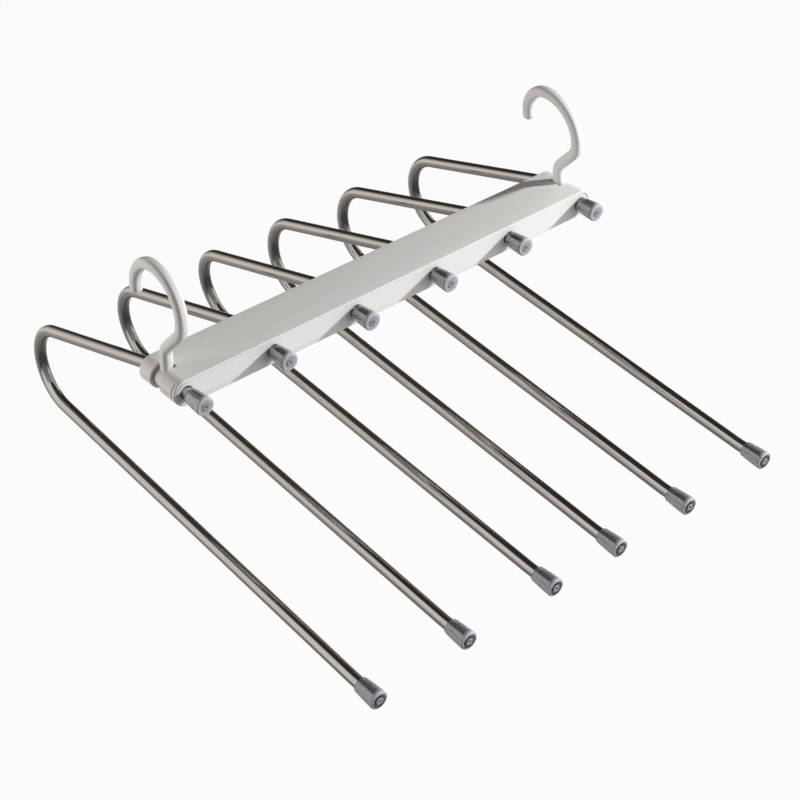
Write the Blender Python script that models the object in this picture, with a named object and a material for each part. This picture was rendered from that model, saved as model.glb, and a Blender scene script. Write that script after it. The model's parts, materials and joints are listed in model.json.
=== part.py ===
"""Folding trouser hanger: a plastic bar on two swivelling hooks, with six bent steel arms.

Metres, +Z up. The bar lies along X, the arms' open ends point to -Y. The origin is the middle
of the line on which the two hooks bear on the wardrobe rail.
"""
import math

import bmesh
import bpy
from mathutils import Vector

MM = 0.001

# Bar: a tray below, and a cover that wraps over the top and round both ends
ARM_COUNT = 6
ARM_PITCH = 60.0 * MM
BAR_WIDTH = 34.0 * MM
BAR_HEIGHT = 17.0 * MM
COVER_THICKNESS = 1.4 * MM
COVER_SEAM = 0.3 * MM
TRAY_WALL = 2.2 * MM
TRAY_FLOOR = 1.8 * MM
SLOT_END_WALL = 1.4 * MM
EDGE_CHAMFER = 0.5 * MM
RIB_THICKNESS = 1.2 * MM
RIB_DEPTH = 2.0 * MM

# Forks at the ends of the bar, which hold the hooks' hubs
BACK_LUG = 10.65 * MM
FORK_SLOT = 9.3 * MM
STEM_SLOT_REACH = 4.5 * MM
HUB_DIAMETER = 12.6 * MM
LIP_THICKNESS = 2.4 * MM
LIP_SLIT = 1.0 * MM
LIP_DEPTH = 3.4 * MM

# One clearance for what turns or slides on another piece
RUNNING_GAP = 0.3 * MM

# Arms: bent steel tube, seen from the side in the plane of Y and Z
TUBE_DIAMETER = 7.5 * MM
TUBE_WALL = 0.6 * MM
BEND_STANDOFF = 4.2 * MM
SHOULDER_DROP = math.radians(16.6)
SHOULDER_RADIUS = 14.0 * MM
BACK_LEG = 106.2 * MM
RETURN_RADIUS = 26.6 * MM
LEG_FALL = math.radians(5.45)
LONG_LEG = 279.0 * MM
TIP_LIFT = math.radians(3.0)
TIP_LIFT_RADIUS = 60.0 * MM
TIP_LEG = 18.0 * MM

# How each arm hangs in the photograph: turned about its pivot, and slid towards the front
REST_SWING = [math.radians(a) for a in (1.8, -1.4, -4.2, 0.3, 1.6, -1.4)]
REST_SLIDE = [2.7 * MM, 0.0, 0.0, 0.0, 0.0, 0.0]

# Soft caps on both ends of each arm
CAP_WALL = 0.75 * MM
CAP_FLARE = 0.95 * MM
CAP_END = 2.0 * MM
CAP_ROUND = 0.7 * MM
CAP_NUB_DIAMETER = 4.2 * MM
CAP_NUB_HEIGHT = 0.4 * MM
CAP_STANDOFF = 1.5 * MM
PIVOT_CAP_LENGTH = 13.5 * MM
TIP_CAP_LENGTH = 15.7 * MM

# Hooks: one bent bar of rounded section on a hub
HOOK_DEPTH = 6.8 * MM
HOOK_WIDTH = 6.8 * MM
HOOK_ROUND = 1.2 * MM
STEM_HEIGHT = 15.9 * MM
JOG_OFFSET = 17.0 * MM
JOG_ANGLE = math.radians(43.5)
JOG_LOW_RADIUS = 9.5 * MM
JOG_HIGH_RADIUS = 15.0 * MM
FRONT_ARC_RADIUS = 24.8 * MM
BACK_ARC_RADIUS = 18.3 * MM
HOOK_TIP_LENGTH = 3.8 * MM
LEFT_HOOK_LEAN = math.radians(2.9)
RIGHT_HOOK_LEAN = math.radians(-3.7)

# Facets of round shapes
TUBE_SIDES = 12
HOLE_SIDES = 16
HUB_SIDES = 24
END_STEPS = 6
QUARTER = math.pi / 2

# Sizes that follow from the ones above
END_PIVOT = ARM_PITCH * (ARM_COUNT - 1) / 2
END_RADIUS = BAR_HEIGHT / 2
COVER_INNER_RADIUS = END_RADIUS - COVER_THICKNESS
TRAY_TOP_RADIUS = COVER_INNER_RADIUS - COVER_SEAM
BAR_FRONT = -BAR_WIDTH / 2
BAR_BACK = BAR_WIDTH / 2
SLOT_BACK = BAR_BACK - BACK_LUG
SLOT_FRONT = SLOT_BACK - FORK_SLOT
STEM_SETBACK = (SLOT_FRONT + SLOT_BACK) / 2
HUB_RADIUS = HUB_DIAMETER / 2
HUB_CLEAR = HUB_RADIUS + RUNNING_GAP
HUB_FRONT = SLOT_FRONT + RUNNING_GAP
HUB_BACK = SLOT_BACK - RUNNING_GAP
LIP_BACK = BAR_FRONT + LIP_THICKNESS
CAVITY_HALF_LENGTH = END_PIVOT - HUB_CLEAR - SLOT_END_WALL
CAVITY_HALF_WIDTH = BAR_WIDTH / 2 - TRAY_WALL
TUBE_RADIUS = TUBE_DIAMETER / 2
PIVOT_HOLE_RADIUS = TUBE_RADIUS + RUNNING_GAP
CAP_BORE_RADIUS = TUBE_RADIUS + RUNNING_GAP
CAP_ENTRY_RADIUS = CAP_BORE_RADIUS + CAP_WALL
CAP_END_RADIUS = CAP_ENTRY_RADIUS + CAP_FLARE
TUBE_FRONT = BAR_FRONT - CAP_STANDOFF - PIVOT_CAP_LENGTH + CAP_END + RUNNING_GAP
SHOULDER_START = BAR_BACK + BEND_STANDOFF


def clear_scene():
    for item in list(bpy.data.objects):
        bpy.data.objects.remove(item, do_unlink=True)


def finish(name, color, roughness, metallic=0.0, alpha=1.0):
    """A plain surface finish."""
    material = bpy.data.materials.new(name)
    material.use_nodes = True
    shader = material.node_tree.nodes["Principled BSDF"]
    shader.inputs["Base Color"].default_value = (*color, 1.0)
    shader.inputs["Roughness"].default_value = roughness
    shader.inputs["Metallic"].default_value = metallic
    shader.inputs["Alpha"].default_value = alpha
    return material


def add_object(name, mesh, material=None):
    if material:
        mesh.materials.clear()
        mesh.materials.append(material)
    item = bpy.data.objects.new(name, mesh)
    bpy.context.collection.objects.link(item)
    return item


def mesh_of(bm, name):
    """Close a mesh under construction: faces outward, round stretches smooth."""
    bmesh.ops.recalc_face_normals(bm, faces=bm.faces)
    mesh = bpy.data.meshes.new(name)
    bm.to_mesh(mesh)
    bm.free()
    mesh.shade_smooth()
    mesh.set_sharp_from_angle(angle=math.radians(32))
    return mesh


def arc(center, radius, start, end, steps):
    """Points on an arc in a plane, from one angle to another."""
    angles = [start + (end - start) * k / steps for k in range(steps + 1)]
    return [(center[0] + radius * math.cos(a), center[1] + radius * math.sin(a)) for a in angles]


def bridge(bm, first, second):
    """Walls between two rings of as many points."""
    count = len(first)
    for k in range(count):
        bm.faces.new((first[k], first[(k + 1) % count], second[(k + 1) % count], second[k]))


def loft_along_y(name, layers):
    """A closed body through outlines in X and Z, each at its own Y."""
    bm = bmesh.new()
    rings = [[bm.verts.new((x, y, z)) for x, z in outline] for y, outline in layers]
    for first, second in zip(rings, rings[1:]):
        bridge(bm, first, second)
    bm.faces.new(rings[0])
    bm.faces.new(rings[-1])
    return mesh_of(bm, name)


def cylinder_along_y(name, centers, radius, front, back, sides):
    """Round bodies along Y whose flats lie at the radius, one at each X in centers."""
    bm = bmesh.new()
    corner_radius = radius / math.cos(math.pi / sides)
    for x in centers:
        outline = arc((x, 0.0), corner_radius, 0.0, 2 * math.pi, sides)[:-1]
        rings = [[bm.verts.new((px, y, pz)) for px, pz in outline] for y in (front, back)]
        bridge(bm, rings[0], rings[1])
        bm.faces.new(rings[0])
        bm.faces.new(rings[1])
    return mesh_of(bm, name)


def boxes(name, corners):
    """Square bodies, each given by its lowest and highest corner."""
    bm = bmesh.new()
    for low, high in corners:
        outline = [(low[0], low[2]), (high[0], low[2]), (high[0], high[2]), (low[0], high[2])]
        rings = [[bm.verts.new((x, y, z)) for x, z in outline] for y in (low[1], high[1])]
        bridge(bm, rings[0], rings[1])
        bm.faces.new(rings[0])
        bm.faces.new(rings[1])
    return mesh_of(bm, name)


def shaped(mesh, steps):
    """The mesh after joining or cutting other meshes, as a list of (operation, mesh)."""
    base = add_object("base", mesh)
    tools = []
    for operation, tool_mesh in steps:
        tool = add_object("tool", tool_mesh)
        tool.hide_render = True
        tool.display_type = "WIRE"
        tools.append(tool)
        modifier = base.modifiers.new(operation.lower(), "BOOLEAN")
        modifier.operation = operation
        modifier.solver = "EXACT"
        modifier.object = tool
    graph = bpy.context.evaluated_depsgraph_get()
    result = bpy.data.meshes.new_from_object(base.evaluated_get(graph))
    for item in [base, *tools]:
        bpy.data.objects.remove(item, do_unlink=True)
    result.shade_smooth()
    result.set_sharp_from_angle(angle=math.radians(32))
    return result


# Bent centre lines are lists of (y, z, heading), with the heading's angle measured from +Y
def run(route, length):
    y, z, heading = route[-1]
    route.append((y + length * math.cos(heading), z + length * math.sin(heading), heading))


def bend(route, angle, radius, steps):
    y, z, heading = route[-1]
    side = math.copysign(radius, angle)
    center_y = y - side * math.sin(heading)
    center_z = z + side * math.cos(heading)
    for k in range(1, steps + 1):
        turned = heading + angle * k / steps
        route.append((center_y + side * math.sin(turned), center_z - side * math.cos(turned), turned))


def ring_on(bm, station, section):
    """The section's points, as (x, outward), set square to the centre line at a station."""
    y, z, heading = station
    up_y = -math.sin(heading)
    up_z = math.cos(heading)
    return [bm.verts.new((x, y + up * up_y, z + up * up_z)) for x, up in section]


def arm_route():
    """From the front end of the pivot stub, round the return bend, to the open tip."""
    route = [(TUBE_FRONT, 0.0, 0.0)]
    run(route, SHOULDER_START - TUBE_FRONT)
    bend(route, -SHOULDER_DROP, SHOULDER_RADIUS, 2)
    run(route, BACK_LEG)
    bend(route, SHOULDER_DROP + LEG_FALL - math.pi, RETURN_RADIUS, 10)
    run(route, LONG_LEG)
    bend(route, -TIP_LIFT, TIP_LIFT_RADIUS, 2)
    run(route, TIP_LEG)
    return route


def arm_mesh():
    bm = bmesh.new()
    walls = []
    for radius in (TUBE_RADIUS, TUBE_RADIUS - TUBE_WALL):
        section = arc((0.0, 0.0), radius, 0.0, 2 * math.pi, TUBE_SIDES)[:-1]
        rings = [ring_on(bm, station, section) for station in arm_route()]
        for first, second in zip(rings, rings[1:]):
            bridge(bm, first, second)
        walls.append(rings)
    bridge(bm, walls[0][0], walls[1][0])
    bridge(bm, walls[0][-1], walls[1][-1])
    return mesh_of(bm, "trouser_arm")


def cap_mesh(name, length):
    """A turned cap about Y: the blind bore's floor is at y = 0 and the closed end faces -Y."""
    entry = length - CAP_END
    profile = [
        (0.0, 0.0),
        (CAP_BORE_RADIUS, 0.0),
        (CAP_BORE_RADIUS, entry),
        (CAP_ENTRY_RADIUS, entry),
        (CAP_END_RADIUS, CAP_ROUND - CAP_END),
        (CAP_END_RADIUS - CAP_ROUND, -CAP_END),
        (CAP_NUB_DIAMETER / 2, -CAP_END),
        (CAP_NUB_DIAMETER / 2, -CAP_END - CAP_NUB_HEIGHT),
        (0.0, -CAP_END - CAP_NUB_HEIGHT),
    ]
    bm = bmesh.new()
    rings = []
    for radius, y in profile[1:-1]:
        outline = arc((0.0, 0.0), radius, 0.0, 2 * math.pi, TUBE_SIDES)[:-1]
        rings.append([bm.verts.new((x, y, z)) for x, z in outline])
    for first, second in zip(rings, rings[1:]):
        bridge(bm, first, second)
    bm.faces.new(rings[0])
    bm.faces.new(rings[-1])
    return mesh_of(bm, name)


def hook_route():
    """From inside the hub up the stem, forward at the jog and over the rail."""
    bends_offset = (JOG_LOW_RADIUS + JOG_HIGH_RADIUS) * (1 - math.cos(JOG_ANGLE))
    route = [(STEM_SETBACK, 0.0, QUARTER)]
    run(route, STEM_HEIGHT)
    bend(route, JOG_ANGLE, JOG_LOW_RADIUS, 4)
    run(route, (JOG_OFFSET - bends_offset) / math.sin(JOG_ANGLE))
    bend(route, -JOG_ANGLE, JOG_HIGH_RADIUS, 4)
    bend(route, -QUARTER, FRONT_ARC_RADIUS, 9)
    bend(route, -QUARTER, BACK_ARC_RADIUS, 8)
    run(route, HOOK_TIP_LENGTH)
    return route


def rail_point():
    """Where a hook bears on the rail: inside the crown, as (y, z) from the hub's axis."""
    y, z, heading = min(hook_route(), key=lambda station: abs(station[2]))
    return y, z - HOOK_DEPTH / 2


def hook_section(scale):
    """A rectangle with cut corners, as (x, outward)."""
    x = HOOK_WIDTH / 2 * scale
    up = HOOK_DEPTH / 2 * scale
    cut = HOOK_ROUND * scale
    corners = [(x, up - cut), (x - cut, up), (cut - x, up), (-x, up - cut)]
    return corners + [(-px, -pup) for px, pup in corners]


def hook_mesh():
    """The swept hook joined to its hub, and bored for the arm that it turns on."""
    route = hook_route()
    bm = bmesh.new()
    rings = [ring_on(bm, station, hook_section(1.0)) for station in route]
    for lift, scale in ((0.6, 0.85), (1.0, 0.5)):
        end = [route[-1]]
        run(end, HOOK_DEPTH / 2 * lift)
        rings.append(ring_on(bm, end[-1], hook_section(scale)))
    for first, second in zip(rings, rings[1:]):
        bridge(bm, first, second)
    bm.faces.new(rings[0])
    bm.faces.new(rings[-1])
    hub = cylinder_along_y("hub", [0.0], HUB_RADIUS, HUB_FRONT, HUB_BACK, HUB_SIDES)
    bore = cylinder_along_y("bore", [0.0], PIVOT_HOLE_RADIUS, BAR_FRONT, BAR_BACK, HOLE_SIDES)
    return shaped(mesh_of(bm, "hook"), [("UNION", hub), ("DIFFERENCE", bore)])


def tray_outline(inset):
    """The tray from the front: full round below the pivots, let in for the cover above them."""
    low = END_RADIUS - inset
    return (
        arc((END_PIVOT, 0.0), low, -QUARTER, 0.0, END_STEPS)
        + arc((END_PIVOT, 0.0), TRAY_TOP_RADIUS, 0.0, QUARTER, END_STEPS)
        + arc((-END_PIVOT, 0.0), TRAY_TOP_RADIUS, QUARTER, 2 * QUARTER, END_STEPS)
        + arc((-END_PIVOT, 0.0), low, 2 * QUARTER, 3 * QUARTER, END_STEPS)
    )


def cover_outline(inset):
    """The cover from the front: an even strip over the top and down both ends to the seam."""
    outer = END_RADIUS - inset
    inner = COVER_INNER_RADIUS
    low_out = math.asin(COVER_SEAM / outer)
    low_in = math.asin(COVER_SEAM / inner)
    return (
        arc((END_PIVOT, 0.0), outer, low_out, QUARTER, END_STEPS)
        + arc((-END_PIVOT, 0.0), outer, QUARTER, math.pi - low_out, END_STEPS)
        + arc((-END_PIVOT, 0.0), inner, math.pi - low_in, QUARTER, END_STEPS)
        + arc((END_PIVOT, 0.0), inner, QUARTER, low_in, END_STEPS)
    )


def bar_layers(outline):
    """The bar's outline from front to back, with its long edges eased."""
    return [
        (BAR_FRONT, outline(EDGE_CHAMFER)),
        (BAR_FRONT + EDGE_CHAMFER, outline(0.0)),
        (BAR_BACK - EDGE_CHAMFER, outline(0.0)),
        (BAR_BACK, outline(EDGE_CHAMFER)),
    ]


def fork_slots(reach):
    """Cutters that open both ends of the bar between the lugs, reaching inward of the pivots."""
    beyond = END_PIVOT + BAR_HEIGHT
    inner = END_PIVOT - reach
    return boxes("fork_slots", [
        ((-beyond, SLOT_FRONT, -BAR_HEIGHT), (-inner, SLOT_BACK, BAR_HEIGHT)),
        ((inner, SLOT_FRONT, -BAR_HEIGHT), (beyond, SLOT_BACK, BAR_HEIGHT)),
    ])


def lip_slits():
    """Cutters for the slits that set off a thin lip at the front of each rounded end."""
    beyond = END_PIVOT + BAR_HEIGHT
    inner = END_PIVOT + END_RADIUS - LIP_DEPTH
    back = LIP_BACK + LIP_SLIT
    return boxes("lip_slits", [
        ((-beyond, LIP_BACK, -BAR_HEIGHT), (-inner, back, BAR_HEIGHT)),
        ((inner, LIP_BACK, -BAR_HEIGHT), (beyond, back, BAR_HEIGHT)),
    ])


def tray_mesh(pivots):
    floor = TRAY_FLOOR - END_RADIUS
    cavity = boxes("cavity", [(
        (-CAVITY_HALF_LENGTH, -CAVITY_HALF_WIDTH, floor),
        (CAVITY_HALF_LENGTH, CAVITY_HALF_WIDTH, BAR_HEIGHT),
    )])
    holes = cylinder_along_y(
        "pivot_holes", pivots, PIVOT_HOLE_RADIUS, -BAR_WIDTH, BAR_WIDTH, HOLE_SIDES)
    return shaped(loft_along_y("bar_tray", bar_layers(tray_outline)), [
        ("DIFFERENCE", cavity),
        ("DIFFERENCE", fork_slots(HUB_CLEAR)),
        ("DIFFERENCE", lip_slits()),
        ("DIFFERENCE", holes),
    ])


def cover_mesh():
    """The cover with two ribs below, which locate it between the tray's walls."""
    rib_x = CAVITY_HALF_LENGTH - RUNNING_GAP
    rib_out = CAVITY_HALF_WIDTH - RUNNING_GAP
    rib_in = rib_out - RIB_THICKNESS
    rib_low = COVER_INNER_RADIUS - RIB_DEPTH
    rib_high = COVER_INNER_RADIUS + COVER_THICKNESS / 2
    ribs = boxes("ribs", [
        ((-rib_x, rib_in, rib_low), (rib_x, rib_out, rib_high)),
        ((-rib_x, -rib_out, rib_low), (rib_x, -rib_in, rib_high)),
    ])
    return shaped(loft_along_y("bar_cover", bar_layers(cover_outline)), [
        ("UNION", ribs),
        ("DIFFERENCE", fork_slots(STEM_SLOT_REACH)),
        ("DIFFERENCE", lip_slits()),
    ])


def build_bar(axis, plastic):
    pivots = [ARM_PITCH * k - END_PIVOT for k in range(ARM_COUNT)]
    tray = add_object("bar_tray", tray_mesh(pivots), plastic)
    cover = add_object("bar_cover", cover_mesh(), plastic)
    tray.location = axis
    cover.location = axis
    return pivots


def build_hooks(axis, plastic):
    mesh = hook_mesh()
    for name, x, lean in (
        ("left_hook", -END_PIVOT, LEFT_HOOK_LEAN),
        ("right_hook", END_PIVOT, RIGHT_HOOK_LEAN),
    ):
        hook = add_object(name, mesh, plastic)
        hook.location = axis + Vector((x, 0.0, 0.0))
        hook.rotation_euler = (0.0, lean, 0.0)


def build_arms(axis, pivots, steel, vinyl):
    """Each arm and its two caps hang on an empty that lies on the arm's pivot."""
    tube = arm_mesh()
    pivot_cap = cap_mesh("pivot_cap", PIVOT_CAP_LENGTH)
    tip_cap = cap_mesh("tip_cap", TIP_CAP_LENGTH)
    tip_y, tip_z, tip_heading = arm_route()[-1]
    tip_floor_y = tip_y + RUNNING_GAP * math.cos(tip_heading)
    tip_floor_z = tip_z + RUNNING_GAP * math.sin(tip_heading)
    for number, x in enumerate(pivots, start=1):
        pivot = bpy.data.objects.new(f"arm_{number}_pivot", None)
        bpy.context.collection.objects.link(pivot)
        pivot.location = axis + Vector((x, 0.0, 0.0))
        pivot.rotation_euler = (0.0, REST_SWING[number - 1], 0.0)
        slide = REST_SLIDE[number - 1]
        arm = add_object(f"trouser_arm_{number}", tube, steel)
        arm.location = (0.0, -slide, 0.0)
        front = add_object(f"pivot_cap_{number}", pivot_cap, vinyl)
        front.location = (0.0, TUBE_FRONT - RUNNING_GAP - slide, 0.0)
        tip = add_object(f"tip_cap_{number}", tip_cap, vinyl)
        tip.location = (0.0, tip_floor_y - slide, tip_floor_z)
        tip.rotation_euler = (tip_heading + math.pi, 0.0, 0.0)
        for piece in (arm, front, tip):
            piece.parent = pivot


def main():
    clear_scene()
    plastic = finish("off_white_plastic", (0.74, 0.73, 0.70), 0.42)
    steel = finish("satin_steel", (0.62, 0.59, 0.56), 0.28, metallic=1.0)
    vinyl = finish("smoky_clear_vinyl", (0.42, 0.40, 0.46), 0.18, alpha=0.45)
    rail_y, rail_z = rail_point()
    axis = Vector((0.0, -rail_y, -rail_z))
    pivots = build_bar(axis, plastic)
    build_hooks(axis, plastic)
    build_arms(axis, pivots, steel, vinyl)
    bpy.context.view_layer.update()


main()
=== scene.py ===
import json
import math

import bmesh
import bpy
from mathutils import Matrix, Quaternion, Vector

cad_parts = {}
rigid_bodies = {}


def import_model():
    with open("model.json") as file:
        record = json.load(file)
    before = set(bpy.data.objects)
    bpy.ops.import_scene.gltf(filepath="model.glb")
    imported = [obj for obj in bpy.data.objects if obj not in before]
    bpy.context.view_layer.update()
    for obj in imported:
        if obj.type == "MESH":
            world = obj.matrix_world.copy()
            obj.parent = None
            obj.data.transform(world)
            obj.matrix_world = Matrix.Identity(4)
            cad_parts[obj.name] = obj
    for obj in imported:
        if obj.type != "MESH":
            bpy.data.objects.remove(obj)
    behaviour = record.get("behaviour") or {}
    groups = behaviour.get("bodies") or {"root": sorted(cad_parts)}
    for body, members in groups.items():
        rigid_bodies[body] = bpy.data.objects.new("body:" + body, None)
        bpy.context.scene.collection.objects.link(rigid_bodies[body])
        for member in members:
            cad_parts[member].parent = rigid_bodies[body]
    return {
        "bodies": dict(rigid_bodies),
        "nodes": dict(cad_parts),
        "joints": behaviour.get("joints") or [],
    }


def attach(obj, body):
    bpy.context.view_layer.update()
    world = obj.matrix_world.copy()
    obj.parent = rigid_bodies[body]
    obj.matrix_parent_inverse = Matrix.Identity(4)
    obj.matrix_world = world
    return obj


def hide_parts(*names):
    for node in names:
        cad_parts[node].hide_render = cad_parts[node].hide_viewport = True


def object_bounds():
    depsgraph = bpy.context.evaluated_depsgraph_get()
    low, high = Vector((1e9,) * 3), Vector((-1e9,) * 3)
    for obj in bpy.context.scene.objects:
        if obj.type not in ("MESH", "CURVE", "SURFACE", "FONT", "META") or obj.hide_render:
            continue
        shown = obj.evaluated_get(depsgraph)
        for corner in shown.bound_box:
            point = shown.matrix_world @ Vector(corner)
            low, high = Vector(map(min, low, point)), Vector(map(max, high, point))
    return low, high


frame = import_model()
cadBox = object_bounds()
mm = 0.001
quarter = math.pi / 2
sharpAngle = math.radians(34.0)  # steeper edges stay crisp, the rest is shaded smooth
noiseMean = 0.5  # a noise texture drifts about this
pivotOf = {joint["child"]: Vector(joint["pos_m"]) for joint in frame["joints"]}
armCount = sum(1 for body in frame["bodies"] if body.startswith("arm_"))
barEnd = pivotOf[f"arm_{armCount}"].x
barMiddle = (pivotOf["arm_1"] + pivotOf[f"arm_{armCount}"]) / 2
print("frame loaded:", len(frame["nodes"]), "nodes,", armCount, "arms")


class Wire:
    # an output socket that can stand in plain Python sums
    def __init__(self, paint, socket):
        self.paint = paint
        self.socket = socket

    def reckon(self, operation, first, second):
        return self.paint.node("ShaderNodeMath", {"operation": operation}, {0: first, 1: second})

    def __add__(self, other):
        return self.reckon("ADD", self, other)

    def __sub__(self, other):
        return self.reckon("SUBTRACT", self, other)

    def __rsub__(self, other):
        return self.reckon("SUBTRACT", other, self)

    def __mul__(self, other):
        return self.reckon("MULTIPLY", self, other)

    def __lt__(self, other):
        return self.reckon("LESS_THAN", self, other)

    def __gt__(self, other):
        return self.reckon("GREATER_THAN", self, other)

    def __or__(self, other):
        # the larger of two masks
        return self.reckon("MAXIMUM", self, other)

    __radd__ = __add__
    __rmul__ = __mul__


class Paint:
    # a node tree under construction
    def __init__(self, tree):
        self.tree = tree
        tree.nodes.clear()

    def node(self, kind, settings, values, output=0):
        made = self.tree.nodes.new(kind)
        for key, value in settings.items():
            if key == "stops":
                for stop, (position, shade) in zip(made.color_ramp.elements, value):
                    stop.position = position
                    stop.color = (shade, shade, shade, 1.0)
            else:
                setattr(made, key, value)
        for key, value in values.items():
            if isinstance(value, Wire):
                self.tree.links.new(value.socket, made.inputs[key])
            else:
                made.inputs[key].default_value = value
        return Wire(self, made.outputs[output]) if made.outputs else None

    def spot(self):
        return self.node("ShaderNodeTexCoord", {}, {}, "Object")

    def noise(self, place, scale, detail):
        values = {"Vector": place, "Scale": scale, "Detail": detail}
        return self.node("ShaderNodeTexNoise", {}, values, "Fac")

    def stretch(self, place, scales):
        return self.node("ShaderNodeVectorMath", {"operation": "MULTIPLY"}, {0: place, 1: scales})

    def share(self, value, start, end):
        # 0 at the start, 1 at the end and even in between
        values = {"Value": value, "From Min": start, "From Max": end}
        return self.node("ShaderNodeMapRange", {}, values)

    def mix(self, factor, first, second):
        # a Mix node's colour sockets are numbers 6 and 7 going in and 2 coming out
        values = {0: factor, 6: first, 7: second}
        return self.node("ShaderNodeMix", {"data_type": "RGBA"}, values, 2)

    def bump(self, height, strength, distance):
        values = {"Strength": strength, "Distance": distance, "Height": height}
        return self.node("ShaderNodeBump", {}, values)

    def blend(self, factor, first, second):
        return self.node("ShaderNodeMixShader", {}, {0: factor, 1: first, 2: second})

    def finish(self, surface):
        self.node("ShaderNodeOutputMaterial", {}, {"Surface": surface})


def newPaint(name):
    material = bpy.data.materials.new(name)
    material.use_nodes = True
    return material, Paint(material.node_tree)


plasticLook = {
    "pale": (0.804, 0.792, 0.776, 1.0),
    "deep": (0.770, 0.757, 0.739, 1.0),
    "cloudScale": 18.0,       # slow drift of tone, per metre
    "cloudDetail": 4.0,
    "cloudShare": 0.8,
    "grainScale": 2600.0,     # spark-eroded mould texture
    "grainDetail": 2.0,
    "grainShare": 0.2,
    "grainDepth": 0.004 * mm,
    "grainStrength": 0.2,
    "scuffScale": (40.0, 700.0, 90.0),
    "scuffDetail": 3.0,
    "scuffStops": ((0.62, 0.0), (0.74, 1.0)),
    "scuffTone": 0.12,
    "scuffRoughness": 0.08,
    "roughness": 0.48,
    "roughnessSpread": 0.10,
    "refraction": 1.47,
    "specular": 0.35,
}


def offWhitePlastic():
    look = plasticLook
    material, paint = newPaint("offWhitePlastic")
    spot = paint.spot()
    cloud = paint.noise(spot, look["cloudScale"], look["cloudDetail"])
    grain = paint.noise(spot, look["grainScale"], look["grainDetail"])
    streak = paint.noise(paint.stretch(spot, look["scuffScale"]), 1.0, look["scuffDetail"])
    scuff = paint.node("ShaderNodeValToRGB", {"stops": look["scuffStops"]}, {"Fac": streak})
    depth = cloud * look["cloudShare"] + grain * look["grainShare"]
    toned = paint.mix(depth, look["pale"], look["deep"])
    spread = look["roughnessSpread"] * (grain - noiseMean)
    surface = paint.node("ShaderNodeBsdfPrincipled", {}, {
        "Base Color": paint.mix(scuff * look["scuffTone"], toned, look["deep"]),
        "Roughness": look["roughness"] + spread + scuff * look["scuffRoughness"],
        "Normal": paint.bump(grain, look["grainStrength"], look["grainDepth"]),
        "IOR": look["refraction"],
        "Specular IOR Level": look["specular"],
    })
    paint.finish(surface)
    return material


steelLook = {
    "bright": (0.560, 0.532, 0.505, 1.0),
    "dull": (0.490, 0.464, 0.440, 1.0),
    # painted shade: the inside of the tube is painted near black for the shade that fills it
    "bore": (0.012, 0.012, 0.016, 1.0),
    "streaksAround": 60.0,    # drawing lines round the tube
    "streaksAlong": 4.0,      # and per metre of its length
    "streakDetail": 1.0,
    "streakShare": 0.7,
    "streakDepth": 0.0006 * mm,
    "streakStrength": 0.5,
    "smudgeScale": 42.0,
    "smudgeDetail": 3.0,
    "smudgeShare": 0.3,
    "roughness": 0.14,
    "streakRoughness": 0.10,
    "smudgeRoughness": 0.08,
    "boreRoughness": 0.4,     # added inside the tube
}


def drawnSteel():
    look = steelLook
    material, paint = newPaint("drawnSteel")
    unrolled = paint.node("ShaderNodeUVMap", {"uv_map": "tubeMap"}, {}, "UV")
    drawnOut = paint.stretch(unrolled, (look["streaksAround"], look["streaksAlong"], 1.0))
    lines = paint.noise(drawnOut, 1.0, look["streakDetail"])
    smudge = paint.noise(paint.spot(), look["smudgeScale"], look["smudgeDetail"])
    boreShadeMask = paint.node("ShaderNodeSeparateXYZ", {}, {"Vector": unrolled}, "Y") < 0.0
    dulling = lines * look["streakShare"] + smudge * look["smudgeShare"]
    drawn = paint.mix(dulling, look["bright"], look["dull"])
    streaky = (lines - noiseMean) * look["streakRoughness"]
    smudgy = (smudge - noiseMean) * look["smudgeRoughness"]
    surface = paint.node("ShaderNodeBsdfPrincipled", {}, {
        # painted shade: the bore gets a near-black colour for the shade inside the tube
        "Base Color": paint.mix(boreShadeMask, drawn, look["bore"]),
        "Metallic": 1.0,
        "Roughness": look["roughness"] + streaky + smudgy + boreShadeMask * look["boreRoughness"],
        "Normal": paint.bump(lines, look["streakStrength"], look["streakDepth"]),
    })
    paint.finish(surface)
    return material


vinylLook = {
    # the pivot and tip caps are one vinyl: their tints differ as painted light and shade, lighter at the
    # pivots and darker at the tips
    "pivotVinyl": {
        "tint": (0.740, 0.722, 0.780, 1.0), "haze": (0.660, 0.642, 0.705, 1.0),
        "milkFrom": -0.8 * mm, "nubMilk": 0.42, "sideMilk": 0.13,
    },
    "tipVinyl": {
        "tint": (0.620, 0.602, 0.660, 1.0), "haze": (0.540, 0.523, 0.585, 1.0),
        "milkFrom": 3.9 * mm, "nubMilk": 0.45, "sideMilk": 0.11,
    },
    "cloudScale": 120.0,
    "cloudDetail": 3.0,
    "cloudRoughness": 0.05,
    "rippleScale": 420.0,     # uneven skin of dipped vinyl
    "rippleDetail": 1.0,
    "rippleDepth": 0.006 * mm,
    "rippleStrength": 0.3,
    "roughness": 0.14,
    "refraction": 1.46,
    "clearness": 0.97,
    "milk": (0.660, 0.645, 0.715, 1.0),
    "milkShare": 0.72,        # thick vinyl at the closed end looks milky, from milkFrom outwards
    "milkTo": 5.1 * mm,       # radius at which it is fullest
    "milkDepth": 1.2 * mm,    # it fades out over this to both sides of the bore's floor
    "nubDepth": -2.05 * mm,   # only the nub stands out past this
    "skinRadius": 4.3 * mm,   # between the bore and the outside
}


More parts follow.
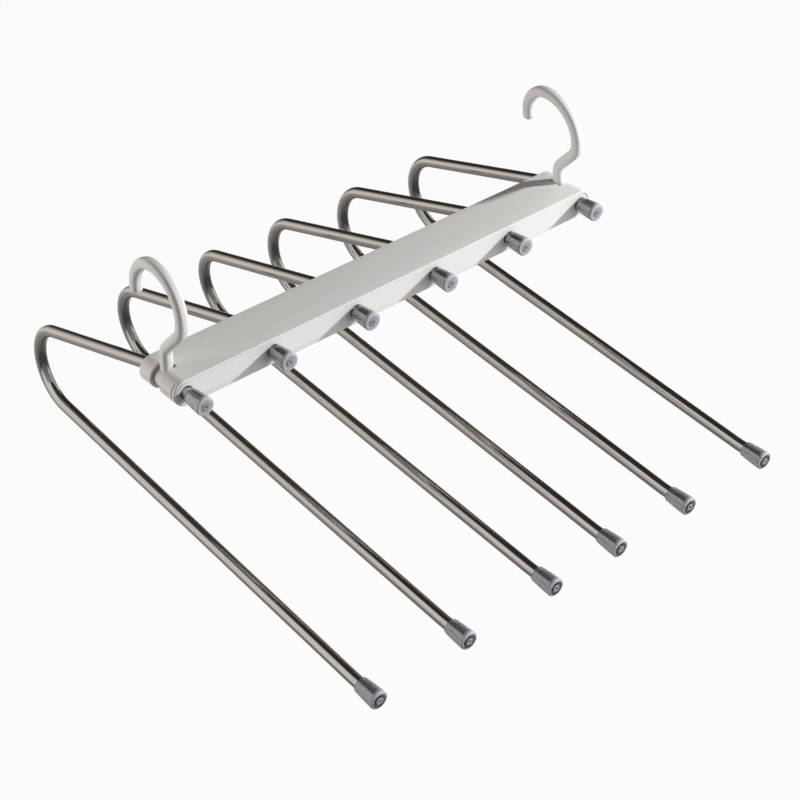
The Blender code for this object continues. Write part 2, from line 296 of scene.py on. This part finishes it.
def smokyVinyl(name):
    look = vinylLook
    kind = look[name]
    material, paint = newPaint(name)
    spot = paint.spot()
    cloud = paint.noise(spot, look["cloudScale"], look["cloudDetail"])
    ripple = paint.noise(spot, look["rippleScale"], look["rippleDetail"])
    skin = {
        "Roughness": look["roughness"] + cloud * look["cloudRoughness"],
        "Normal": paint.bump(ripple, look["rippleStrength"], look["rippleDepth"]),
        "IOR": look["refraction"],
    }
    color = paint.mix(cloud, kind["tint"], kind["haze"])
    clear = paint.node("ShaderNodeBsdfPrincipled", {}, {
        **skin, "Base Color": color, "Transmission Weight": look["clearness"],
    })
    milky = paint.node("ShaderNodeBsdfPrincipled", {}, {**skin, "Base Color": look["milk"]})

    # a cap lies along Y with its closed end towards -Y
    across = paint.stretch(spot, (1.0, 0.0, 1.0))
    radius = paint.node("ShaderNodeVectorMath", {"operation": "LENGTH"}, {0: across}, "Value")
    depth = paint.node("ShaderNodeSeparateXYZ", {}, {"Vector": spot}, "Y")
    outer = paint.share(radius, kind["milkFrom"], look["milkTo"])
    closed = paint.share(depth, look["milkDepth"], -look["milkDepth"])
    onSide = (1 - closed) * (radius > look["skinRadius"])
    onNub = depth < look["nubDepth"]
    thick = outer * closed * look["milkShare"] + onSide * kind["sideMilk"]
    paint.finish(paint.blend(thick | onNub * kind["nubMilk"], clear, milky))
    return material


plastic = offWhitePlastic()
steel = drawnSteel()
pivotVinyl = smokyVinyl("pivotVinyl")
tipVinyl = smokyVinyl("tipVinyl")
print("finishes made")


def sealed(mesh):
    mesh.shade_smooth()
    mesh.set_sharp_from_angle(angle=sharpAngle)
    return mesh


def ringsToMesh(name, rings, walked=None):
    # a closed skin through rings of as many points, with flat ends; walked gives an unrolled map
    shape = bmesh.new()
    loops = [[shape.verts.new(point) for point in ring] for ring in rings]
    unrolled = shape.loops.layers.uv.new("tubeMap") if walked else None
    count = len(rings[0])
    for row in range(len(loops) - 1):
        here, there = loops[row], loops[row + 1]
        for k in range(count):
            after = (k + 1) % count
            face = shape.faces.new((here[k], here[after], there[after], there[k]))
            if walked:
                corners = ((k, row), (k + 1, row), (k + 1, row + 1), (k, row + 1))
                for loop, (u, v) in zip(face.loops, corners):
                    loop[unrolled].uv = (u / count, walked[v])
    shape.faces.new(loops[0])
    shape.faces.new(loops[-1])
    bmesh.ops.recalc_face_normals(shape, faces=shape.faces)
    mesh = bpy.data.meshes.new(name)
    shape.to_mesh(mesh)
    shape.free()
    return sealed(mesh)


def arcPoints(center, radius, start, end, steps):
    angles = [start + (end - start) * k / steps for k in range(steps + 1)]
    return [(center[0] + radius * math.cos(a), center[1] + radius * math.sin(a)) for a in angles]


def circle(radius, sides):
    return arcPoints((0.0, 0.0), radius, 0.0, 2 * math.pi, sides)[:-1]


def turned(name, profile, sides, centers=(0.0,)):
    # a body of revolution about Y from (radius, y) points, once at each centre along X
    rings = [[(x, y, z) for x, z in circle(radius, sides)] for radius, y in profile]
    mesh = ringsToMesh(name, rings)
    if len(centers) == 1:
        return mesh
    many = bmesh.new()
    for x in centers:
        start = len(many.verts)
        many.from_mesh(mesh)
        many.verts.ensure_lookup_table()
        bmesh.ops.translate(many, verts=many.verts[start:], vec=(x, 0.0, 0.0))
    many.to_mesh(mesh)
    many.free()
    return mesh


def blocks(name, corners):
    shape = bmesh.new()
    for low, high in corners:
        middle = (Vector(low) + Vector(high)) / 2
        size = Vector(high) - Vector(low)
        bmesh.ops.create_cube(shape, size=1.0, matrix=Matrix.LocRotScale(middle, None, size))
    mesh = bpy.data.meshes.new(name)
    shape.to_mesh(mesh)
    shape.free()
    return mesh


def worked(mesh, steps):
    # join or cut with other meshes, as a list of (operation, mesh)
    base = bpy.data.objects.new("blank", mesh)
    bpy.context.scene.collection.objects.link(base)
    tools = []
    for operation, toolMesh in steps:
        tool = bpy.data.objects.new("tool", toolMesh)
        bpy.context.scene.collection.objects.link(tool)
        tools.append(tool)
        change = base.modifiers.new(operation.lower(), "BOOLEAN")
        change.operation = operation
        change.solver = "EXACT"
        change.object = tool
    graph = bpy.context.evaluated_depsgraph_get()
    result = bpy.data.meshes.new_from_object(base.evaluated_get(graph))
    result.name = mesh.name
    for item in [base, *tools]:
        bpy.data.objects.remove(item, do_unlink=True)
    return sealed(result)


def fit(name, mesh, matrix, body, node, material):
    # put a finished piece in its place, on its body, in the stead of its CAD node
    piece = bpy.data.objects.new(name, mesh)
    bpy.context.scene.collection.objects.link(piece)
    piece.matrix_world = matrix
    mesh.materials.clear()
    mesh.materials.append(material)
    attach(piece, body)
    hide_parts(node)


# bent centre lines are lists of (y, z, heading), the heading measured from +Y
def ahead(station, length):
    y, z, heading = station
    return (y + length * math.cos(heading), z + length * math.sin(heading), heading)


def runOn(route, length, steps):
    start = route[-1]
    route += [ahead(start, length * k / steps) for k in range(1, steps + 1)]


def bendOn(route, angle, radius, steps):
    y, z, heading = route[-1]
    side = math.copysign(radius, angle)
    centerY = y - side * math.sin(heading)
    centerZ = z + side * math.cos(heading)
    for k in range(1, steps + 1):
        now = heading + angle * k / steps
        route.append((centerY + side * math.sin(now), centerZ - side * math.cos(now), now))


def ringAt(station, section):
    y, z, heading = station
    return [(x, y - up * math.sin(heading), z + up * math.cos(heading)) for x, up in section]


barLook = {
    "width": 34.0 * mm,
    "height": 17.0 * mm,
    "coverThickness": 1.4 * mm,
    "seam": 0.3 * mm,
    "wall": 2.2 * mm,
    "floor": 1.8 * mm,
    "slotEndWall": 1.4 * mm,
    "easing": 0.7 * mm,       # rounding of the long edges
    "easingSteps": 4,
    "seamEasing": 0.25 * mm,
    "ribThickness": 1.2 * mm,
    "ribDepth": 2.0 * mm,
    "slotFront": -2.95 * mm,  # fork slots for the hooks' hubs
    "slotBack": 6.35 * mm,
    "stemReach": 4.5 * mm,
    "hubRadius": 6.3 * mm,
    "lipBack": -14.6 * mm,    # slits behind a thin lip at each end
    "lipSlit": 1.0 * mm,
    "lipDepth": 3.4 * mm,
    "gap": 0.3 * mm,
    "holeRadius": 4.05 * mm,
    "holeEasing": 0.35 * mm,
    "holeSides": 40,
    "endSteps": 16,
}


def barLayers(outline):
    # the outline from front to back, its long edges rounded
    easing = barLook["easing"]
    steps = barLook["easingSteps"]
    front = -barLook["width"] / 2
    angles = [quarter * k / steps for k in range(steps, -1, -1)]
    layers = [(front + easing * (1 - math.sin(a)), easing * (1 - math.cos(a))) for a in angles]
    layers += [(-y, inset) for y, inset in layers[::-1]]
    return [[(x, y, z) for x, z in outline(inset)] for y, inset in layers]


def trayOutline(inset):
    look = barLook
    low = look["height"] / 2 - inset
    top = look["height"] / 2 - look["coverThickness"] - look["seam"]
    high = top - min(inset, look["seamEasing"])
    steps = look["endSteps"]
    return (
        arcPoints((barEnd, 0.0), low, -quarter, 0.0, steps)
        + arcPoints((barEnd, 0.0), high, 0.0, quarter, steps)
        + arcPoints((-barEnd, 0.0), high, quarter, 2 * quarter, steps)
        + arcPoints((-barEnd, 0.0), low, 2 * quarter, 3 * quarter, steps)
    )


def coverOutline(inset):
    look = barLook
    outer = look["height"] / 2 - inset
    inner = look["height"] / 2 - look["coverThickness"] + min(inset, look["seamEasing"])
    lowOut = math.asin(look["seam"] / outer)
    lowIn = math.asin(look["seam"] / inner)
    steps = look["endSteps"]
    return (
        arcPoints((barEnd, 0.0), outer, lowOut, quarter, steps)
        + arcPoints((-barEnd, 0.0), outer, quarter, math.pi - lowOut, steps)
        + arcPoints((-barEnd, 0.0), inner, math.pi - lowIn, quarter, steps)
        + arcPoints((barEnd, 0.0), inner, quarter, lowIn, steps)
    )


def endCuts(name, reach, front, back):
    # one block at each end of the bar, from so far inside the end pivot outwards
    tall = barLook["height"]
    beyond = barEnd + tall
    inner = barEnd - reach
    return blocks(name, [
        ((-beyond, front, -tall), (-inner, back, tall)),
        ((inner, front, -tall), (beyond, back, tall)),
    ])


def forkSlots(reach):
    return endCuts("forkSlots", reach, barLook["slotFront"], barLook["slotBack"])


def lipSlits():
    look = barLook
    back = look["lipBack"] + look["lipSlit"]
    return endCuts("lipSlits", look["lipDepth"] - look["height"] / 2, look["lipBack"], back)


def pivotHoles():
    # drills with a slight countersink at both faces of the bar
    look = barLook
    face = look["width"] / 2
    radius = look["holeRadius"]
    ease = look["holeEasing"]
    flared = radius + 2 * ease
    profile = [
        (flared, -face - ease),
        (radius, ease - face),
        (radius, face - ease),
        (flared, face + ease),
    ]
    centers = [pivotOf[f"arm_{k}"].x for k in range(1, armCount + 1)]
    return turned("pivotHoles", profile, look["holeSides"], centers)


def buildBar():
    look = barLook
    half = look["height"] / 2
    clear = look["hubRadius"] + look["gap"]
    cavityX = barEnd - clear - look["slotEndWall"]
    cavityY = look["width"] / 2 - look["wall"]
    cavity = blocks("cavity", [
        ((-cavityX, -cavityY, look["floor"] - half), (cavityX, cavityY, look["height"])),
    ])
    tray = worked(ringsToMesh("barTray", barLayers(trayOutline)), [
        ("DIFFERENCE", cavity),
        ("DIFFERENCE", forkSlots(clear)),
        ("DIFFERENCE", lipSlits()),
        ("DIFFERENCE", pivotHoles()),
    ])
    underCover = half - look["coverThickness"]
    ribX = cavityX - look["gap"]
    ribOut = cavityY - look["gap"]
    ribIn = ribOut - look["ribThickness"]
    ribLow = underCover - look["ribDepth"]
    ribHigh = underCover + look["coverThickness"] / 2
    ribs = blocks("ribs", [
        ((-ribX, ribIn, ribLow), (ribX, ribOut, ribHigh)),
        ((-ribX, -ribOut, ribLow), (ribX, -ribIn, ribHigh)),
    ])
    cover = worked(ringsToMesh("barCover", barLayers(coverOutline)), [
        ("UNION", ribs),
        ("DIFFERENCE", forkSlots(look["stemReach"])),
        ("DIFFERENCE", lipSlits()),
    ])
    place = Matrix.Translation(barMiddle)
    fit("barTray", tray, place, "bar", "bar_tray", plastic)
    fit("barCover", cover, place, "bar", "bar_cover", plastic)
    print("bar built")


hookLook = {
    "depth": 6.8 * mm,
    "width": 6.8 * mm,
    "rounding": 2.6 * mm,
    "roundingSteps": 6,
    "stemSetback": 1.7 * mm,
    "stemHeight": 15.9 * mm,
    "stemSteps": 3,
    "jogOffset": 17.0 * mm,
    "jogAngle": math.radians(43.5),
    "jogSteps": 2,
    "jogLowRadius": 9.5 * mm,
    "jogLowSteps": 10,
    "jogHighRadius": 15.0 * mm,
    "jogHighSteps": 12,
    "frontArcRadius": 24.8 * mm,
    "frontArcSteps": 30,
    "backArcRadius": 18.3 * mm,
    "backArcSteps": 26,
    "tipLength": 3.8 * mm,
    "tipSteps": 8,            # rings of the rounded tip
    "hubEasing": 0.5 * mm,
    "hubEasingSteps": 4,
    "hubSides": 64,
    "leans": {"left_hook": math.radians(2.9), "right_hook": math.radians(-3.7)},
    "names": {"left_hook": "leftHook", "right_hook": "rightHook"},
}


def hookSection(scale):
    # a rectangle with rounded corners, as (x, outward)
    look = hookLook
    x = look["width"] / 2 - look["rounding"]
    up = look["depth"] / 2 - look["rounding"]
    points = []
    for turn, corner in enumerate(((x, up), (-x, up), (-x, -up), (x, -up))):
        start = turn * quarter
        end = (turn + 1) * quarter
        points += arcPoints(corner, look["rounding"], start, end, look["roundingSteps"])
    return [(px * scale, pup * scale) for px, pup in points]


def hookRoute():
    look = hookLook
    jog = look["jogAngle"]
    bends = (look["jogLowRadius"] + look["jogHighRadius"]) * (1 - math.cos(jog))
    jogRun = (look["jogOffset"] - bends) / math.sin(jog)
    route = [(look["stemSetback"], 0.0, quarter)]
    runOn(route, look["stemHeight"], look["stemSteps"])
    bendOn(route, jog, look["jogLowRadius"], look["jogLowSteps"])
    runOn(route, jogRun, look["jogSteps"])
    bendOn(route, -jog, look["jogHighRadius"], look["jogHighSteps"])
    bendOn(route, -quarter, look["frontArcRadius"], look["frontArcSteps"])
    bendOn(route, -quarter, look["backArcRadius"], look["backArcSteps"])
    runOn(route, look["tipLength"], 1)
    return route


def hookHub():
    ease = hookLook["hubEasing"]
    radius = barLook["hubRadius"]
    front = barLook["slotFront"] + barLook["gap"] + ease
    back = barLook["slotBack"] - barLook["gap"] - ease
    edge = arcPoints((radius - ease, 0.0), ease, 0.0, quarter, hookLook["hubEasingSteps"])
    profile = [(r, front - y) for r, y in edge[::-1]] + [(r, back + y) for r, y in edge]
    return turned("hub", profile, hookLook["hubSides"])


def buildHooks():
    look = hookLook
    route = hookRoute()
    rings = [ringAt(station, hookSection(1.0)) for station in route]
    for k in range(1, look["tipSteps"]):
        angle = quarter * k / look["tipSteps"]
        station = ahead(route[-1], look["depth"] / 2 * math.sin(angle))
        rings.append(ringAt(station, hookSection(math.cos(angle))))
    hole = barLook["holeRadius"]
    bore = [(hole, -barLook["width"]), (hole, barLook["width"])]
    mesh = worked(ringsToMesh("railHook", rings), [
        ("UNION", hookHub()),
        ("DIFFERENCE", turned("bore", bore, barLook["holeSides"])),
    ])
    for node, lean in look["leans"].items():
        place = Matrix.Translation(pivotOf[node]) @ Matrix.Rotation(lean, 4, "Y")
        fit(look["names"][node], mesh, place, node, node, plastic)
    print("hooks built")


armLook = {
    "radius": 3.75 * mm,
    "wall": 0.6 * mm,
    "rimEasing": 0.12 * mm,
    "boreShown": 16.0 * mm,
    "sides": 40,
    "front": -29.7 * mm,
    "shoulderStart": 21.2 * mm,
    "stubSteps": 4,
    "shoulderDrop": math.radians(16.6),
    "shoulderRadius": 14.0 * mm,
    "shoulderSteps": 8,
    "backLeg": 106.2 * mm,
    "backLegSteps": 6,
    "returnRadius": 26.6 * mm,
    "returnSteps": 44,
    "legFall": math.radians(5.45),
    "longLeg": 279.0 * mm,
    "longLegSteps": 14,
    "tipLift": math.radians(3.0),
    "tipLiftRadius": 60.0 * mm,
    "tipLiftSteps": 5,
    "tipLeg": 18.0 * mm,
    "tipLegSteps": 2,
    "swings": (1.8, -1.4, -4.2, 0.3, 1.6, -1.4),  # degrees about each pivot at rest
    "slides": (2.7, 0.0, 0.0, 0.0, 0.0, 0.0),     # millimetres towards the front
}


def armRoute():
    look = armLook
    returnTurn = look["shoulderDrop"] + look["legFall"] - math.pi
    route = [(look["front"], 0.0, 0.0)]
    runOn(route, look["shoulderStart"] - look["front"], look["stubSteps"])
    bendOn(route, -look["shoulderDrop"], look["shoulderRadius"], look["shoulderSteps"])
    runOn(route, look["backLeg"], look["backLegSteps"])
    bendOn(route, returnTurn, look["returnRadius"], look["returnSteps"])
    runOn(route, look["longLeg"], look["longLegSteps"])
    bendOn(route, -look["tipLift"], look["tipLiftRadius"], look["tipLiftSteps"])
    runOn(route, look["tipLeg"], look["tipLegSteps"])
    return route


def armMesh():
    # rings from inside the front end, along the outside and into the tip, so both ends look open
    look = armLook
    start, *between, end = armRoute()
    outside = look["radius"]
    inside = outside - look["wall"]
    ease = look["rimEasing"]
    easedStart = ahead(start, ease)
    easedEnd = ahead(end, -ease)
    stations = [(ahead(start, look["boreShown"]), inside), (easedStart, inside)]
    stations += [(start, inside + ease), (start, outside - ease)]
    stations += [(station, outside) for station in [easedStart, *between, easedEnd]]
    stations += [(end, outside - ease), (end, inside + ease)]
    stations += [(easedEnd, inside), (ahead(end, -look["boreShown"]), inside)]
    rings = []
    walked = []
    far = 0.0
    before = None
    for station, radius in stations:
        rings.append(ringAt(station, circle(radius, look["sides"])))
        here = Vector((station[0], station[1], radius))
        far += (here - before).length if before else 0.0
        walked.append(far if radius == outside else -far - mm)  # less than nothing in the bore
        before = here
    return ringsToMesh("steelArm", rings, walked)


capLook = {
    "boreRadius": 3.72 * mm,  # soft vinyl grips the tube with no air between
    "floorShare": 0.5,        # inner ring of the bore's floor
    "entryRadius": 4.80 * mm,
    "endRadius": 5.75 * mm,
    "swell": ((0.0, 0.0), (0.25, 0.36), (0.5, 0.64), (0.75, 0.86), (1.0, 1.0)),  # entry to end
    "end": 2.0 * mm,
    "rounding": 0.9 * mm,
    "roundingSteps": 6,
    "lip": 0.3 * mm,
    "lipEasing": 0.12 * mm,
    "nubRadius": 2.1 * mm,
    "nubHole": 0.9 * mm,
    "nubHeight": 0.4 * mm,
    "nubFillet": 0.15 * mm,
    "nubEasing": 0.1 * mm,
    "pivotLength": 13.5 * mm,
    "tipLength": 15.7 * mm,
    "gap": 0.3 * mm,
    "sides": 48,
}


def capMesh(name, length):
    # blind bore's floor at y = 0, closed end towards -Y
    look = capLook
    bore = look["boreRadius"]
    narrow = look["entryRadius"]
    wide = look["endRadius"]
    entry = length - look["end"]
    lipStart = entry - look["lip"]
    face = -look["end"]
    edge = look["rounding"]
    profile = [(bore * look["floorShare"], 0.0), (bore, 0.0), (bore, lipStart)]
    profile += [(bore + look["lipEasing"], entry), (narrow - look["lipEasing"], entry)]
    for share, grown in look["swell"]:
        y = lipStart + (face + edge - lipStart) * share
        profile.append((narrow + (wide - narrow) * grown, y))
    profile += arcPoints((wide - edge, face + edge), edge, 0.0, -quarter, look["roundingSteps"])[1:]
    nub = look["nubRadius"]
    hole = look["nubHole"]
    ease = look["nubEasing"]
    top = face - look["nubHeight"]
    profile += [(nub + look["nubFillet"], face), (nub, face - look["nubFillet"])]
    profile += [(nub, top + ease), (nub - ease, top)]
    profile += [(hole + ease, top), (hole, top + ease), (hole, face)]
    return turned(name, profile, look["sides"])


def buildArms():
    tube = armMesh()
    pivotCap = capMesh("pivotCap", capLook["pivotLength"])
    tipCap = capMesh("tipCap", capLook["tipLength"])
    tipY, tipZ, tipHeading = ahead(armRoute()[-1], capLook["gap"])
    toFront = Matrix.Translation((0.0, armLook["front"] - capLook["gap"], 0.0))
    toTip = Matrix.Translation((0.0, tipY, tipZ)) @ Matrix.Rotation(tipHeading + math.pi, 4, "X")
    for k in range(1, armCount + 1):
        body = f"arm_{k}"
        turn = Matrix.Rotation(math.radians(armLook["swings"][k - 1]), 4, "Y")
        slide = Matrix.Translation((0.0, -armLook["slides"][k - 1] * mm, 0.0))
        place = Matrix.Translation(pivotOf[body]) @ turn @ slide
        front = place @ toFront
        tip = place @ toTip
        fit(f"steelArm{k}", tube, place, body, f"trouser_arm_{k}", steel)
        fit(f"pivotCap{k}", pivotCap, front, body, f"pivot_cap_{k}", pivotVinyl)
        fit(f"tipCap{k}", tipCap, tip, body, f"tip_cap_{k}", tipVinyl)
    print("arms and caps built")


buildBar()
buildHooks()
buildArms()

studioLook = {
    "floorDrop": 0.42,        # the hanger hangs this far above the floor
    "floorReach": 8.0,        # metres to each side
    "floorColor": (0.42, 0.42, 0.42, 1.0),
    "floorGlow": 0.95,        # share of plain white that the eye sees on the floor
    "mottleColor": (0.38, 0.38, 0.38, 1.0),
    "mottleScale": 3.0,
    "mottleDetail": 2.0,
    "mottleShare": 0.05,
    "white": (1.0, 1.0, 1.0, 1.0),
    "skyLight": 0.05,
    "lamps": {
        "keyLight": {
            "place": (1.36, -0.76, 0.67), "size": 0.13, "power": 33.5, "color": (1.0, 0.99, 0.98),
        },
        "frontLight": {
            "place": (0.60, -1.30, 0.10), "size": 1.8, "power": 12.6, "color": (0.96, 0.98, 1.0),
        },
        "fillLight": {
            "place": (-0.75, 0.62, 0.10), "size": 0.7, "power": 7.1, "color": (1.0, 0.960, 0.915),
        },
    },
    # cards show in reflections and through the caps; each fades between two shades along a direction
    "cardTint": (1.0, 0.97, 0.94),
    "cards": {
        "blackFlag": {
            "points": ((-3.5, 2.0, -0.60), (5.0, 2.0, -0.60), (5.0, 2.0, 4.60), (-3.5, 2.0, 4.60)),
            "along": (1.0, 0.0, 0.4), "reach": (-0.72, 0.40), "shades": (0.97, 0.04),
        },
        "floorCard": {
            "points": ((-4.0, -3.0, -0.57), (4.0, -3.0, -0.57), (4.0, 2.4, -0.57), (-4.0, 2.4, -0.57)),
            "along": (0.0, 1.0, 0.0), "reach": (-0.30, 2.30), "shades": (0.08, 0.97),
        },
        "darkWall": {
            "points": ((-5.0, -2.9, -0.57), (3.0, -2.9, -0.57), (3.0, -2.9, 3.60), (-5.0, -2.9, 3.60)),
            "along": (0.0, 0.0, 1.0), "reach": (-0.50, 2.50), "shades": (0.16, 0.40),
        },
        "darkCeiling": {
            "points": ((-2.2, -2.9, 3.5), (5.0, -2.9, 3.5), (5.0, 2.0, 3.5), (-2.2, 2.0, 3.5)),
            "along": (1.0, 0.0, 0.0), "reach": (-2.12, -1.00), "shades": (0.97, 0.04),
        },
    },
}


def seenDirectly(paint):
    # 1 for rays that look straight at a backdrop, in a mirror or through clear vinyl
    rays = ("Is Camera Ray", "Is Glossy Ray", "Is Transmission Ray")
    camera, mirror, through = [paint.node("ShaderNodeLightPath", {}, {}, ray) for ray in rays]
    return camera | mirror | through


def paleFloor():
    look = studioLook
    material, paint = newPaint("paleFloor")
    mottle = paint.noise(paint.spot(), look["mottleScale"], look["mottleDetail"])
    color = paint.mix(mottle * look["mottleShare"], look["floorColor"], look["mottleColor"])
    matt = paint.node("ShaderNodeBsdfDiffuse", {}, {"Color": color})
    glow = paint.node("ShaderNodeEmission", {}, {"Color": look["white"], "Strength": 1.0})
    paint.finish(paint.blend(seenDirectly(paint) * look["floorGlow"], matt, glow))
    material.cycles.emission_sampling = "NONE"  # white to look at, but no lamp
    return material


def cardPaint(name, card):
    material, paint = newPaint(name)
    values = {0: paint.spot(), 1: card["along"]}
    far = paint.node("ShaderNodeVectorMath", {"operation": "DOT_PRODUCT"}, values, "Value")
    first, last = [(*(shade * part for part in studioLook["cardTint"]), 1.0) for shade in card["shades"]]
    color = paint.mix(paint.share(far, *card["reach"]), first, last)
    paint.finish(paint.node("ShaderNodeEmission", {}, {"Color": color, "Strength": 1.0}))
    material.cycles.emission_sampling = "NONE"
    return material


def panel(name, points, material):
    mesh = bpy.data.meshes.new(name)
    mesh.from_pydata(points, [], [tuple(range(len(points)))])
    mesh.materials.append(material)
    item = bpy.data.objects.new(name, mesh)
    bpy.context.scene.collection.objects.link(item)
    return item


def buildBackdrop():
    look = studioLook
    low = cadBox[0].z - look["floorDrop"]
    wide = look["floorReach"]
    corners = [(-wide, -wide, low), (wide, -wide, low), (wide, wide, low), (-wide, wide, low)]
    panel("floor", corners, paleFloor())
    for name, setting in look["cards"].items():
        card = panel(name, setting["points"], cardPaint(name, setting))
        card.visible_camera = False
        card.visible_diffuse = False
        card.visible_shadow = False
        card.visible_transmission = name != "floorCard"  # caps show the white floor behind them


def buildSky():
    look = studioLook
    world = bpy.data.worlds.new("studioLight")
    bpy.context.scene.world = world
    world.use_nodes = True
    paint = Paint(world.node_tree)
    sky, white = [
        paint.node("ShaderNodeBackground", {}, {"Color": look["white"], "Strength": strength})
        for strength in (look["skyLight"], 1.0)
    ]
    mixed = paint.blend(seenDirectly(paint), sky, white)
    paint.node("ShaderNodeOutputWorld", {}, {"Surface": mixed})
    world.cycles.sampling_method = "NONE"


def buildLamps():
    for name, setting in studioLook["lamps"].items():
        lamp = bpy.data.lights.new(name, "AREA")
        lamp.shape = "DISK"
        lamp.size = setting["size"]
        lamp.energy = setting["power"]
        lamp.color = setting["color"]
        stand = bpy.data.objects.new(name, lamp)
        bpy.context.scene.collection.objects.link(stand)
        stand.visible_glossy = False  # the cards and the white room make the reflections
        stand.visible_transmission = False
        stand.location = barMiddle + Vector(setting["place"])
        stand.rotation_mode = "QUATERNION"
        stand.rotation_quaternion = Vector(setting["place"]).to_track_quat("Z", "Y")


cameraLook = {
    "place": (-0.63065, -0.79641, 0.58791),
    "azimuth": math.radians(-39.36),
    "elevation": math.radians(36.31),
    "roll": math.radians(-1.42),
    "lens": 91.3,
    "sensor": 36.0,
}


def buildCamera():
    look = cameraLook
    flat = math.cos(look["elevation"])
    back = Vector((
        math.sin(look["azimuth"]) * flat,
        -math.cos(look["azimuth"]) * flat,
        math.sin(look["elevation"]),
    ))
    roll = Quaternion((0.0, 0.0, 1.0), look["roll"])
    lens = bpy.data.cameras.new("photoCamera")
    lens.lens = look["lens"]
    lens.sensor_width = look["sensor"]
    camera = bpy.data.objects.new("photoCamera", lens)
    bpy.context.scene.collection.objects.link(camera)
    camera.location = look["place"]
    camera.rotation_mode = "QUATERNION"
    camera.rotation_quaternion = back.to_track_quat("Z", "Y") @ roll
    bpy.context.scene.camera = camera
    print("camera set")


buildBackdrop()
buildSky()
buildLamps()
print("studio built")
buildCamera()
bpy.context.scene.view_settings.view_transform = "Standard"

bpy.context.view_layer.update()
